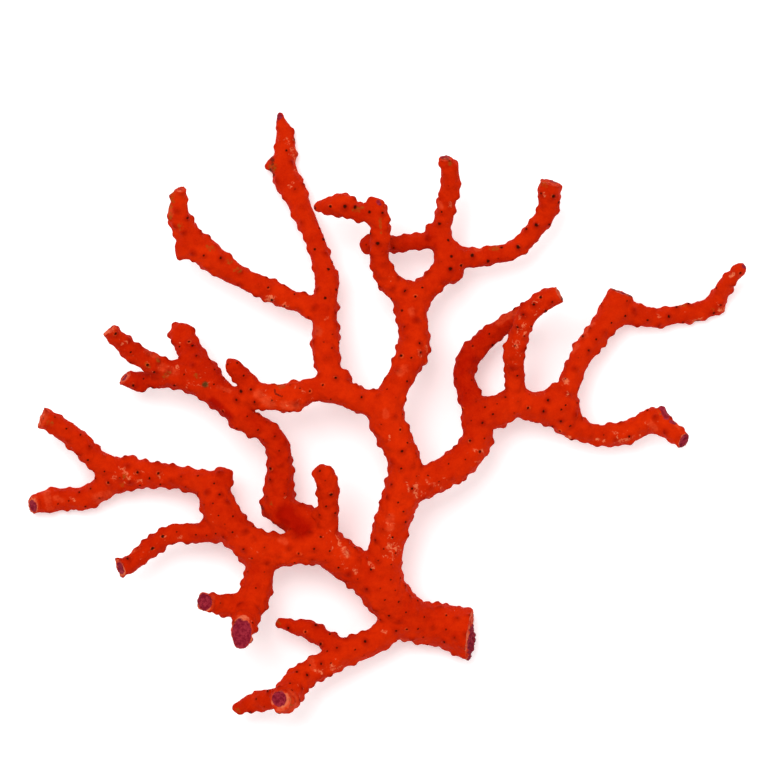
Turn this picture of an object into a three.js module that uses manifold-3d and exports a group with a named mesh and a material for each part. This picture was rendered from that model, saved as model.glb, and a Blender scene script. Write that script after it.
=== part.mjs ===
// Red coral branch, lying on its back as it was picked: a short thick trunk with a cut foot,
// dividing into a flat fan of knobbly arms. Millimetres, +Z up, the table at z = 0.
// X and Y run along the fan, and the origin is under the middle of its outline.
import * as THREE from "three";
import { mergeVertices } from "three/addons/utils/BufferGeometryUtils.js";
import Module from "manifold-3d";

// Driving dimensions
const fanWidth = 144.2; // along X, from the far left stump to the far right tip
const fanDepth = 120.8; // along Y, from the lowest stump to the top spike
const sides = 8; // flats round an arm
const ringStep = 2.35; // between rings of an arm
const forkGap = 0.3; // between two pieces that meet at a fork
const roundTipRings = 3; // rings in a rounded tip
const buriedTipRings = 1; // and in one that another arm hides
const facetRadiusGain = 1.03; // an eight-sided ring as wide on average as the round arm
const wartHeight = 0.42; // how far a polyp's wart stands out
const wartWidth = 1.05; // from its middle to where it fades
const wartPitch = 2.75; // between neighbouring warts
const goldenAngle = Math.PI * (3 - Math.sqrt(5));
const slabDepth = 10; // of the block that wears the resting spots flat

// The arms. Each point is [x, y, height above the table, radius] on the arm's middle line.
// pieces lists the solid that the arm belongs to, and from what length along the arm.
// An end is round, broken (flat, facing the way given in face) or buried in another arm.
const arms = {
  trunk: {
    points: [
      [-0.6, -35.8, 8.6, 4.4], [2.1, -38.9, 7.2, 4.4], [5, -41.5, 5.7, 4.35],
      [8.6, -42.5, 4.4, 4.25], [12.4, -43, 4.2, 4.5], [16.8, -44.6, 4.6, 5.15],
    ],
    pieces: [["trunk", 0]],
    start: "buried",
    end: "broken",
    face: [0.97, -0.1, 0.22],
  },
  centreStem: {
    points: [
      [-0.6, -35.8, 8.6, 4.2], [-0.6, -30.5, 10.2, 3.8], [0.2, -26, 11.4, 3.6],
      [1.2, -22, 12.4, 3.7], [2.5, -18, 13.2, 3.65], [3.7, -14, 13.8, 3.5],
      [3.8, -11, 14.2, 3.4], [3, -8, 14.5, 3.3], [1.2, -4, 14.8, 3.5],
      [-0.1, -1.4, 15, 3.5], [-0.2, 1, 15, 3.3],
    ],
    pieces: [["trunk", 0], ["centre_stem", 10]],
    start: "buried",
    end: "buried",
  },
  leftLimb: {
    points: [
      [-0.6, -35.8, 8.6, 4.2], [-4.9, -32, 9.6, 3.9], [-8.7, -29.4, 10.6, 3.85],
      [-12.2, -27, 11.4, 3.8], [-17, -26.9, 11.8, 3.5], [-22, -27.6, 11.5, 3.5],
      [-26, -27.2, 11, 3.4],
    ],
    pieces: [["trunk", 0], ["left_limb", 9.4]],
    start: "buried",
    end: "buried",
  },
  leftThumb: {
    points: [
      [-12.4, -26, 11.6, 2.6], [-11.7, -21.5, 13, 2.2], [-11.6, -17.5, 14.6, 2.1],
      [-11.9, -14, 16, 2.3], [-12.3, -12.6, 16.6, 2.1],
    ],
    pieces: [["left_limb", 0]],
    start: "buried",
    end: "round",
  },
  lowerBranch: {
    points: [
      [2.2, -41.5, 6.9, 3.4], [-0.9, -44.8, 7.4, 2.7], [-4.4, -46.6, 8, 2.8],
      [-7.6, -47.8, 8.6, 2.7], [-12, -50.2, 9.2, 2.7], [-16, -52.2, 10, 2.6],
      [-18.4, -54.4, 11.4, 2.8], [-19.7, -56.6, 13.8, 2.8], [-20.4, -57.5, 16.8, 2.6],
      [-21, -57.3, 19.6, 2.15],
    ],
    pieces: [["trunk", 0], ["lower_branch", 5.7]],
    start: "buried",
    end: "broken",
    face: [-0.25, 0.05, 0.96],
  },
  lowerTip: {
    points: [
      [-19.4, -56, 11.6, 2.2], [-22.5, -57.3, 9.8, 2.1], [-25, -57.7, 8.4, 2.2],
      [-27, -58.2, 7.4, 1.85], [-29.5, -59.2, 6.6, 1.3],
    ],
    pieces: [["lower_branch", 0]],
    start: "buried",
    end: "round",
  },
  lowerTwig: {
    points: [
      [-8.6, -47.6, 8.8, 2.2], [-11.6, -45.8, 8.2, 2], [-13.9, -44.4, 7.6, 1.95],
      [-16.4, -43.2, 7, 2], [-18.3, -43, 6.6, 1.5], [-20, -42.6, 6.3, 1.3],
      [-21.2, -42, 6.1, 1.05],
    ],
    pieces: [["lower_branch", 0]],
    start: "buried",
    end: "round",
  },
  farLeftBranch: {
    points: [
      [-26, -27.2, 11, 3.4], [-29.5, -24.4, 10.6, 3.4], [-32.7, -20.6, 9.8, 3.6],
      [-34, -17.8, 9.2, 3.5], [-35.2, -14.8, 8.6, 3], [-38.5, -13.7, 7.8, 2.5],
      [-42, -13, 7, 2.4], [-46, -12.6, 6.2, 2.6], [-50, -12.4, 5.6, 3],
      [-53.4, -12.7, 5.2, 3.3], [-56.5, -14.8, 4.6, 2.5], [-60, -17.1, 3.6, 2.4],
      [-62.4, -17.3, 2.8, 2.3], [-65, -17.4, 2.15, 2.35], [-68, -17.8, 2.3, 2.5],
      [-70, -18.2, 3.2, 2], [-71, -18.7, 4.3, 1.75],
    ],
    pieces: [["left_limb", 0], ["far_left_branch", 3.6]],
    start: "buried",
    end: "broken",
    face: [-0.8, -0.1, 0.6],
  },
  farLeftProng: {
    points: [
      [-53.4, -12.7, 5.2, 2.8], [-56.4, -10.7, 5.7, 2.6], [-59.1, -8.8, 6.5, 2.2],
      [-61.3, -6.2, 7.5, 2.35], [-64.9, -3.3, 9, 2.2], [-67.2, -1.8, 10, 2.1],
      [-69, -0.8, 10.7, 2.1],
    ],
    pieces: [["far_left_branch", 0], ["far_left_prong", 6.2]],
    start: "buried",
    end: "broken",
    face: [-0.94, 0.3, 0.15],
  },
  lowLeftBranch: {
    points: [
      [-30.6, -23.6, 10.2, 2.4], [-34, -23.8, 9.4, 2.1], [-37, -24.1, 9, 2.15],
      [-40, -24.1, 8.9, 2], [-43.5, -24.4, 9, 1.85], [-46, -26.2, 9.3, 1.95],
      [-48.5, -28, 9.8, 1.9], [-50.7, -29.9, 10.6, 1.9], [-53.2, -31.1, 12, 1.95],
    ],
    pieces: [["far_left_branch", 0], ["low_left_branch", 7.2]],
    start: "buried",
    end: "broken",
    face: [-0.82, -0.35, 0.45],
  },
  brokenTwin: {
    points: [
      [-25.6, -28, 11, 3.3], [-25.2, -31.6, 10.6, 2.95], [-25.8, -34.2, 10.8, 3.1],
      [-26.5, -37, 11.8, 3.1], [-27.6, -39.6, 14, 2.8], [-28.2, -42, 17, 2.6],
      [-28.8, -44.1, 19.8, 2.35],
    ],
    pieces: [["left_limb", 0], ["broken_twin_branch", 5.8]],
    start: "buried",
    end: "broken",
    face: [-0.2, 0.2, 0.96],
  },
  brokenTwinStub: {
    points: [
      [-26.8, -37.6, 12.2, 2.6], [-29.8, -38.4, 13, 2.5], [-32, -38.4, 14.2, 2.3],
      [-34.2, -38, 15.8, 2], [-36.3, -37.7, 18, 1.95],
    ],
    pieces: [["broken_twin_branch", 0]],
    start: "buried",
    end: "broken",
    face: [-0.6, 0, 0.8],
  },
  bowedBranch: {
    points: [
      [-14.5, -24.4, 10.4, 3], [-18, -21.6, 8.9, 3.2], [-21.2, -19, 8.2, 3.3],
      [-21.5, -15.8, 8.6, 3.1], [-21.3, -12, 9.6, 2.8], [-21.4, -8.6, 10.8, 2.6],
      [-22.4, -5.4, 11.8, 2.45], [-24.5, -3.4, 12.4, 2.4], [-27.2, -1.8, 12.7, 2.5],
      [-30, 0.6, 12.7, 2.8], [-33, 3.2, 12.2, 2.85], [-36, 5.4, 11.6, 2.85],
      [-40.2, 7.1, 11.4, 2.9], [-44, 8.4, 12, 2.35], [-47.2, 10.1, 13.4, 2.15],
      [-50.5, 11.9, 15, 2.05], [-52.8, 14.1, 16.6, 1.85], [-55.3, 16.4, 18.2, 1.6],
    ],
    pieces: [["left_limb", 0], ["bowed_branch", 6.8], ["left_spray", 26.9]],
    start: "buried",
    end: "broken",
    face: [-0.64, 0.72, 0.28],
  },
  sprayThumb: {
    points: [
      [-36.4, 6, 11.4, 3], [-38, 9.4, 10.4, 3], [-39.5, 12.6, 9, 2.6],
      [-40.7, 15.6, 7.6, 2.45],
    ],
    pieces: [["left_spray", 0]],
    start: "buried",
    end: "round",
  },
  sprayStub: {
    points: [
      [-42.4, 7.8, 11.4, 2.1], [-45, 6.6, 10.4, 1.9], [-47.6, 6.6, 9.6, 1.8],
      [-49.8, 6.2, 9.2, 2.05], [-52.5, 6.9, 9.4, 1.6],
    ],
    pieces: [["left_spray", 0]],
    start: "buried",
    end: "broken",
    face: [-0.78, 0.5, 0.38],
  },
  innerBranch: {
    points: [
      [-0.2, 1, 15, 3], [-4, 2.1, 15, 2.65], [-7, 3.1, 14.8, 2.6],
      [-10, 4.6, 14.5, 2.6], [-13, 5, 14.4, 2.35], [-16, 4.2, 14.6, 2.5],
      [-19, 3.1, 14.8, 3.1], [-22, 3, 14.8, 2.7], [-24.5, 3.1, 14.5, 2.9],
      [-27, 3.3, 13.8, 2.8], [-30, 2.4, 12.8, 2.6],
    ],
    pieces: [["centre_stem", 0], ["inner_branch", 5.4], ["left_spray", 24.9]],
    start: "buried",
    end: "buried",
  },
  innerThumb: {
    points: [
      [-26.6, 4, 14.1, 2.3], [-28.6, 6.5, 15, 2.05], [-30.6, 8.9, 16, 1.8],
    ],
    pieces: [["left_spray", 0]],
    start: "buried",
    end: "round",
  },
  tallBranch: {
    points: [
      [-11.6, 4.6, 14.4, 2.8], [-11.5, 8, 13.6, 2.5], [-12.1, 12, 12.4, 2.9],
      [-12.1, 16, 11.2, 2.75], [-12.4, 20, 10.1, 2.5], [-12.1, 24, 9, 2.45],
      [-12, 26.4, 8.4, 2.6], [-12.9, 29.7, 7.6, 2.1], [-13.9, 33.2, 6.8, 2.1],
      [-15.1, 36.5, 6, 2.05], [-16.8, 40, 5.2, 2.2], [-18.2, 43.6, 4.3, 2.5],
      [-20, 46.8, 3.4, 2.75], [-20.4, 50, 2.4, 2.35], [-20.3, 53, 1.95, 2.15],
      [-20.5, 55.8, 2, 1.85], [-21.1, 58, 2.4, 1.25], [-21.4, 59.7, 2.7, 0.65],
    ],
    pieces: [["inner_branch", 0], ["tall_branch", 5.3]],
    start: "buried",
    end: "round",
  },
  tallSideBranch: {
    points: [
      [-12.2, 20.6, 9.9, 2.4], [-15.2, 21.4, 9.8, 2.1], [-18, 22.2, 9.8, 2],
      [-21, 23.4, 10, 2.25], [-24, 24.7, 10.3, 2.25], [-28, 26.5, 10.8, 2.2],
      [-32, 28.7, 11.4, 2.45], [-35.2, 31.2, 12.2, 2.95], [-38.5, 33.9, 13, 2.95],
      [-40.3, 36.7, 14, 2.4], [-41.5, 39.6, 15.2, 2.25], [-41.2, 42.4, 16.6, 1.7],
      [-41, 44.5, 17.9, 1.25],
    ],
    pieces: [["tall_branch", 0], ["tall_side_branch", 5.6]],
    start: "buried",
    end: "broken",
    face: [0, 0.9, 0.44],
  },
  crownStem: {
    points: [
      [-0.2, 1, 15, 3.3], [1.6, 4.6, 14.5, 2.9], [3.3, 8, 13.9, 2.75],
      [4.6, 10.8, 13.2, 3.1], [5.5, 13.4, 12.5, 3.25], [5.3, 16.6, 11.8, 3.05],
      [5, 19.6, 11.2, 3.15], [5, 22.4, 10.8, 3.3],
    ],
    pieces: [["centre_stem", 0], ["crown_stem", 6]],
    start: "buried",
    end: "buried",
  },
  crownHook: {
    points: [
      [5, 22.4, 10.8, 2.9], [1.8, 24.9, 11.6, 2.55], [-0.2, 27.4, 12.9, 2.3],
      [-1.2, 30, 14.3, 2.05], [-1.4, 33, 15.7, 2.05], [-1.1, 36, 16.8, 1.95],
      [-1.8, 39, 17.4, 1.85], [-2.3, 41, 17.6, 2],
    ],
    pieces: [["crown_stem", 0], ["crown_hook", 6]],
    start: "buried",
    end: "round",
  },
  crownHookBarb: {
    points: [
      [-1.6, 39.6, 17.4, 1.9], [-4, 39.8, 17.2, 1.85], [-6.2, 40.2, 16.8, 1.85],
      [-8.8, 41.4, 16.2, 2.4], [-11.2, 41.2, 15.2, 1.95], [-13.2, 41.1, 14.2, 1.3],
    ],
    pieces: [["crown_hook", 0]],
    start: "buried",
    end: "round",
  },
  crownFork: {
    points: [
      [5, 22.4, 10.8, 2.9], [7.6, 24.3, 10.5, 2.55], [9.8, 26.6, 10.1, 2.45],
      [11.9, 28.7, 9.8, 2.6], [12.4, 31.6, 9.5, 2.25], [11, 34.8, 9.6, 2.15],
      [11.1, 37.4, 10, 1.9], [11.7, 40, 10.8, 1.95], [12, 42, 11.5, 1.95],
      [12.7, 44.4, 12.4, 2.05], [12.8, 47, 13.4, 1.95], [12.5, 49, 14.3, 1.85],
      [11.6, 51.2, 15.3, 1.3],
    ],
    pieces: [["crown_stem", 0], ["crown_fork", 5.8]],
    start: "buried",
    end: "broken",
    face: [-0.15, 0.85, 0.5],
  },
  crownForkTwig: {
    points: [
      [11.2, 33.9, 9.4, 1.9], [8.4, 34.4, 9.2, 1.75], [5, 34, 9, 1.7],
      [2, 33.7, 9, 1.7], [-1, 33.7, 9.1, 1.7], [-3.8, 33.6, 9.3, 1.8],
    ],
    pieces: [["crown_fork", 0]],
    start: "buried",
    end: "round",
  },
  crownArc: {
    points: [
      [12, 31.4, 9.5, 2.6], [15.6, 31, 9.2, 2.25], [18.6, 31, 8.8, 2],
      [21.6, 31.6, 8.5, 1.95], [24.6, 32.2, 8.4, 1.95], [27.2, 33.9, 8.5, 1.95],
      [29.4, 36.2, 8.9, 1.95], [31.3, 38.7, 9.6, 2.05], [32.5, 41.4, 10.5, 2.2],
      [32.5, 44, 11.5, 2.45], [32.7, 46, 12.4, 2.15],
    ],
    pieces: [["crown_fork", 0], ["crown_arc_branch", 5]],
    start: "buried",
    end: "broken",
    face: [0.25, 0.92, 0.3],
  },
  rightLimb: {
    points: [
      [3.2, -15.2, 13.6, 3.4], [6.4, -14.4, 13.3, 3.3], [9.6, -13, 12.8, 3.2],
      [13.3, -11, 12.1, 3.25], [16.4, -8.4, 11.4, 3.2], [18.2, -5, 10.7, 3.05],
      [18.4, -1.2, 10.1, 3.2], [21.6, 0.1, 9.8, 3.4], [26, 1.7, 9.6, 2.8],
      [30, 1.1, 9.1, 3.1], [34, 0.7, 8.6, 3.4], [35.6, 0.2, 8.4, 3.4],
    ],
    pieces: [["centre_stem", 0], ["right_limb", 7.2]],
    start: "buried",
    end: "buried",
  },
  loopBranch: {
    points: [
      [18.2, -1, 10, 2.7], [17, 2.2, 9.3, 2.4], [16, 5.4, 8.4, 2.3],
      [15.5, 8, 7.7, 2.2], [16.3, 10.6, 7.3, 2.35], [18.4, 13.2, 7.3, 2.3],
      [21.4, 16, 7.9, 2], [24.4, 18, 9.2, 1.95], [27, 19.6, 11.2, 1.9],
    ],
    pieces: [["right_limb", 0], ["loop_branch", 5.4], ["loop_post", 22.2]],
    start: "buried",
    end: "buried",
  },
  loopPost: {
    points: [
      [25.6, 2.4, 9.8, 2.5], [25.8, 6, 11, 2.1], [25.6, 9, 12.2, 2.05],
      [25.5, 12, 13.2, 2.35], [26, 14.6, 13.9, 2.15], [26.7, 17.2, 14.3, 2.2],
      [28.3, 19.8, 14.5, 2.3], [30.4, 21.7, 14.5, 2.1], [32.3, 22.8, 14.4, 2.15],
      [34.6, 23.6, 14.3, 1.65],
    ],
    pieces: [["right_limb", 0], ["loop_post", 4.6]],
    start: "buried",
    end: "broken",
    face: [0.87, 0.45, 0.2],
  },
  risingBranch: {
    points: [
      [35.2, 0.2, 8.4, 2.9], [36.1, 4, 8, 2.25], [37.2, 7.4, 7.6, 2.3],
      [38.6, 10.4, 7.2, 2.2], [40.2, 13.1, 6.8, 2.45], [42.7, 16.2, 6.2, 2.5],
      [44.9, 19.3, 5.6, 2.8], [46.2, 21.6, 5.4, 3], [47.2, 24.1, 5.6, 2.45],
    ],
    pieces: [["right_limb", 0], ["rising_branch", 6.3]],
    start: "buried",
    end: "broken",
    face: [0.36, 0.92, 0.12],
  },
  farRightBranch: {
    points: [
      [45.6, 20.2, 5.5, 2.6], [48.2, 19.9, 5, 2.45], [50.4, 19.6, 4.5, 2.35],
      [53, 19, 3.9, 2.1], [56, 19.2, 3.2, 1.95], [59, 19.7, 2.5, 2],
      [62, 20.1, 1.9, 2], [64.6, 21, 1.75, 2], [66.6, 22.9, 2.7, 1.9],
      [67.8, 25.3, 4.6, 1.7], [69.2, 27.1, 6.4, 1.45], [70.6, 28.5, 7.9, 1.5],
    ],
    pieces: [["rising_branch", 0], ["far_right_branch", 5.7]],
    start: "buried",
    end: "round",
  },
  lowerRightBranch: {
    points: [
      [34.6, 0.4, 8.5, 3.2], [36.3, -2.3, 8, 2.65], [39.2, -3.6, 7.4, 2.3],
      [42, -4.5, 6.8, 2.15], [45, -4.5, 6.3, 2.3], [48, -4, 6, 2.45],
      [50.8, -2.7, 6.2, 2.3], [53.4, -1.6, 6.9, 2.6], [55.4, -2.3, 7.8, 2.2],
      [56.7, -3.7, 8.6, 1.95], [58.4, -4.9, 9.5, 1.85], [59.5, -5.7, 10.1, 1.65],
    ],
    pieces: [["right_limb", 0], ["lower_right_branch", 6.8]],
    start: "buried",
    end: "broken",
    face: [0.75, -0.4, 0.52],
  },
};

// Healed stumps and swellings that stand out from the arms, and the webs in some forks: [x, y, height, radius]
const knobs = {
  left_limb: [[-16.4, -20.8, 9.6, 2.5]],
  inner_branch: [[-8.9, 6.9, 14, 1.9]],
  crown_fork: [[13.5, 27.9, 9.6, 2], [9.4, 36, 9.5, 1.6]],
  right_limb: [[33.6, 3.6, 8.5, 2.1]],
  far_left_branch: [[-32.8, -13.1, 8.6, 2.3], [-51.6, -10.4, 5.8, 1.7]],
  bowed_branch: [[-22.8, -19.1, 8, 2.2]],
  left_spray: [[-29.6, -1.6, 12.5, 2], [-35.3, 8, 11, 2.3], [-33.8, 5.9, 11.8, 2.3]],
  tall_branch: [[-22.4, 49.8, 3, 1.6], [-15.4, 20.4, 9.8, 1.8]],
  tall_side_branch: [[-40.3, 32.6, 12.8, 2.1]],
  far_right_branch: [[67, 20.9, 2, 1.25]],
  lower_right_branch: [[54.8, -0.5, 7.4, 1.4]],
};

const up = new THREE.Vector3(0, 0, 1);
const middleTint = new THREE.Color(0.8, 0.13, 0.03);

// A repeatable number from 0 to 1 for wart number i
function scatter(i, salt) {
  const wave = Math.sin(i * 12.9898 + salt * 78.233) * 43758.5453;
  return wave - Math.floor(wave);
}

// An arm's middle line, its radius and its own side and up directions at any length along it
function armLine(arm) {
  const middle = new THREE.CatmullRomCurve3(
    arm.points.map(([x, y, z]) => new THREE.Vector3(x, y, z)), false, "catmullrom", 0.5);
  const girth = new THREE.CatmullRomCurve3(
    arm.points.map(([, , , r]) => new THREE.Vector3(r, 0, 0)), false, "catmullrom", 0.5);
  const length = middle.getLength();
  const at = (s) => {
    const inside = THREE.MathUtils.clamp(s, 0, length);
    const t = middle.getUtoTmapping(inside / length);
    const along = middle.getTangent(t);
    const side = new THREE.Vector3().crossVectors(along, up).normalize();
    const rise = new THREE.Vector3().crossVectors(side, along);
    const centre = middle.getPoint(t).addScaledVector(along, s - inside);
    return { centre, along, side, rise, radius: girth.getPoint(t).x };
  };
  return { length, at };
}

// Where an arm's warts sit: in a loose spiral, as [length along the arm, angle round it]
function wartsOf(line, salt) {
  const { radius } = line.at(line.length / 2);
  const step = wartPitch ** 2 / (2 * Math.PI * radius);
  const count = Math.floor(line.length / step);
  return Array.from({ length: count }, (_, i) => [
    (i + scatter(i, salt)) * step,
    i * goldenAngle + 0.5 * scatter(i, salt + 1),
  ]);
}

// How far the skin stands out at a place on an arm
function wartLift(warts, radius, s, angle) {
  let lift = 0;
  for (const [wartS, wartAngle] of warts) {
    const alongDistance = s - wartS;
    if (Math.abs(alongDistance) > 2 * wartWidth) continue;
    const turn = Math.atan2(Math.sin(angle - wartAngle), Math.cos(angle - wartAngle));
    const distance = Math.hypot(alongDistance, turn * radius) / wartWidth;
    lift = Math.max(lift, wartHeight * Math.exp(-distance * distance));
  }
  return lift;
}

// The rings of a stretch of an arm: length along it, share of the radius, and a tilt for a broken face
function ringsOf(line, from, to, startKind, endKind) {
  const count = Math.max(1, Math.round((to - from) / ringStep));
  const rings = [];
  const dome = (s, way, tipRings) =>
    Array.from({ length: tipRings }, (_, i) => {
      const turn = ((i + 1) / (tipRings + 0.35)) * (Math.PI / 2);
      return { s: s + way * line.at(s).radius * Math.sin(turn), share: Math.cos(turn) };
    });
  if (startKind === "buried") rings.push(...dome(from, -1, buriedTipRings).reverse());
  for (let i = 0; i <= count; i++)
    rings.push({ s: from + ((to - from) * i) / count, share: 1 });
  if (endKind === "buried") rings.push(...dome(to, 1, buriedTipRings));
  if (endKind === "round") rings.push(...dome(to, 1, roundTipRings));
  return rings;
}

// A stretch of arm: a closed cylinder whose rings are moved onto the arm's line
function armGeometry(line, warts, from, to, startKind, endKind, face) {
  const rings = ringsOf(line, from, to, startKind, endKind);
  const geometry = new THREE.CylinderGeometry(1, 1, rings.length - 1, sides, rings.length - 1);
  const place = geometry.getAttribute("position");
  for (let v = 0; v < place.count; v++) {
    const ring = rings[Math.round(place.getY(v) + (rings.length - 1) / 2)];
    const { centre, along, side, rise, radius } = line.at(ring.s);
    const angle = Math.atan2(place.getZ(v), place.getX(v));
    const reach = Math.hypot(place.getX(v), place.getZ(v)) * ring.share;
    const skin = radius * facetRadiusGain + wartLift(warts, radius, ring.s, angle) - wartHeight / 3;
    const spot = centre.clone()
      .addScaledVector(side, Math.cos(angle) * skin * reach)
      .addScaledVector(rise, Math.sin(angle) * skin * reach);
    if (face && ring === rings.at(-1))
      spot.addScaledVector(along, -spot.clone().sub(centre).dot(face) / along.dot(face));
    place.setXYZ(v, spot.x, spot.y, spot.z);
  }
  return geometry;
}

const wasm = await Module();
wasm.setup();

// A closed three.js geometry as a solid that can be joined and cut
function solidOf(geometry) {
  const bare = geometry.clone();
  bare.deleteAttribute("normal");
  bare.deleteAttribute("uv");
  const merged = mergeVertices(bare, 1e-4);
  return new wasm.Manifold(new wasm.Mesh({
    numProp: 3,
    vertProperties: merged.getAttribute("position").array,
    triVerts: new Uint32Array(merged.index.array),
  }));
}

// A solid back as a three.js geometry with flat faces
function geometryOf(solid) {
  const mesh = solid.getMesh();
  const geometry = new THREE.BufferGeometry();
  geometry.setAttribute("position", new THREE.BufferAttribute(mesh.vertProperties, 3));
  geometry.setIndex(new THREE.BufferAttribute(mesh.triVerts, 1));
  const flat = geometry.toNonIndexed();
  flat.computeVertexNormals();
  return flat;
}

// Every stretch of arm goes to the solid that it belongs to
const stretches = {};
Object.values(arms).forEach((arm, armNumber) => {
  const line = armLine(arm);
  const warts = wartsOf(line, armNumber);
  arm.pieces.forEach(([piece, start], i) => {
    const next = arm.pieces[i + 1];
    const from = i === 0 ? start : start + forkGap / 2;
    const to = next ? next[1] - forkGap / 2 : line.length;
    const startKind = i === 0 ? arm.start : "fork";
    const endKind = next ? "fork" : arm.end;
    const face = !next && arm.face ? new THREE.Vector3(...arm.face).normalize() : null;
    const solid = solidOf(armGeometry(line, warts, from, to, startKind, endKind, face));
    (stretches[piece] ??= []).push(solid);
  });
});
for (const [piece, balls] of Object.entries(knobs))
  for (const [x, y, z, radius] of balls)
    stretches[piece].push(solidOf(new THREE.OctahedronGeometry(radius, 1).translate(x, y, z)));

// The table's top, which wears the resting spots flat
const slab = solidOf(
  new THREE.BoxGeometry(2 * fanWidth, 2 * fanDepth, slabDepth).translate(0, 0, -slabDepth / 2));

const coral = new THREE.Group();
for (const [piece, parts] of Object.entries(stretches)) {
  const joined = parts.reduce((whole, part) => whole.add(part)).subtract(slab);
  const material = new THREE.MeshStandardMaterial({
    color: middleTint, roughness: 0.55, metalness: 0 });
  const mesh = new THREE.Mesh(geometryOf(joined), material);
  mesh.name = piece;
  coral.add(mesh);
}

export default coral;
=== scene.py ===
import random
from collections import Counter
from itertools import product

import bmesh
import bpy
import numpy as np
from mathutils import Matrix, Vector, kdtree, noise


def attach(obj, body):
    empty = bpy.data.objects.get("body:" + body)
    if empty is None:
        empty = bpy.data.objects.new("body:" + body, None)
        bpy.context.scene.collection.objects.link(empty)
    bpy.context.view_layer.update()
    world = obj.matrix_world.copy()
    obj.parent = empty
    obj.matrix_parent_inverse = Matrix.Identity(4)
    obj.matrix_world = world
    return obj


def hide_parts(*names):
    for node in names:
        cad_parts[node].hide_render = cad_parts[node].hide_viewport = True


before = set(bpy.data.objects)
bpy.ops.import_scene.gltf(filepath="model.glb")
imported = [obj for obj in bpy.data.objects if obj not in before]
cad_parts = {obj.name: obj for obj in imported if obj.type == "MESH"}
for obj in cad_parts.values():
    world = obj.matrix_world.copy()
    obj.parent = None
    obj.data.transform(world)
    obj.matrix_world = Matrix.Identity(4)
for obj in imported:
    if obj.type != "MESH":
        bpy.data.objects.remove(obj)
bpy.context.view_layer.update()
print("frame loaded:", len(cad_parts), "nodes")

# Everything below is measured in millimetres, and made metres when a piece is finished.
millimetre = 0.001


def branch(tint, pieces, points, **end):
    # tint goes from 0, the deep red of the arms behind, to 1, the orange of the arms in front; the deep red
    # is partly the crust's own colour and partly painted shade on the arms that lie lower and behind.
    # pieces says which node a stretch belongs to, and from what length along the arm.
    # Each point along its middle line is [x, y, height above the table, radius].
    # A broken end has a face, the way that it looks, and a bulge. axis is the share of it that is crimson
    # axis, shift moves the axis off the middle, and rim is how pale the crust round it is at the least.
    return {"tint": tint, "pieces": pieces, "points": points, **end}


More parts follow.
